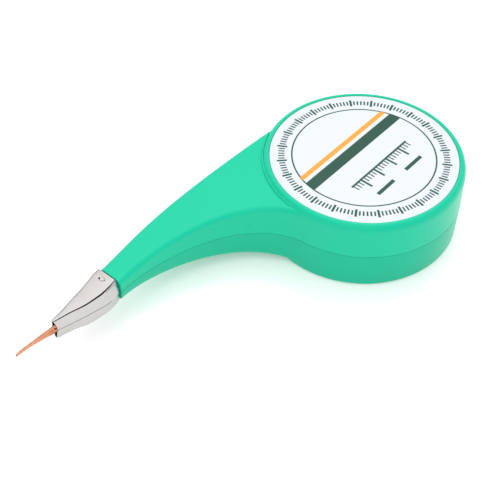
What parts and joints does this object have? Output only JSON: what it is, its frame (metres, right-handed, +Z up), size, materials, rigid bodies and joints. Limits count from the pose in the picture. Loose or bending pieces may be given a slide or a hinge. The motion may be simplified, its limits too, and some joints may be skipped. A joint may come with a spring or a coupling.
{
  "type": "desoldering braid dispenser",
  "caption": "Round plastic case with a printed label and a tapering neck, whose folded metal nozzle feeds out flat copper desoldering braid.",
  "frame": {"origin": "centre of the drum's flat base", "axes": "+Z up along the drum's axis, +X the way the braid is drawn out of the nozzle"},
  "size_m": [0.1162, 0.052, 0.0197],
  "materials": {
    "case": "satin moulded plastic",
    "label": "smooth printed label",
    "nozzle": "bright plated sheet",
    "braid": "bare copper braid"
  },
  "bodies": {
    "case": {"case_upper": "case", "case_lower": "case", "label": "label", "nozzle": "nozzle"},
    "strand": {"braid_strand": "braid"},
    "coil": {"braid_coil": "braid"}
  },
  "joints": [
    {"name": "braid_feed", "type": "slide", "parent": "case", "child": "strand", "axis": [1, 0, 0], "range_m": [0, 0.04]},
    {"name": "coil_turn", "type": "hinge", "parent": "case", "child": "coil", "pos_m": [0, 0, 0.0099], "axis": [0, 0, 1], "range_deg": [0, 102]}
  ],
  "couplings": [
    {"joint": "coil_turn", "follows": "braid_feed", "rad_per_m": 43.716}
  ]
}
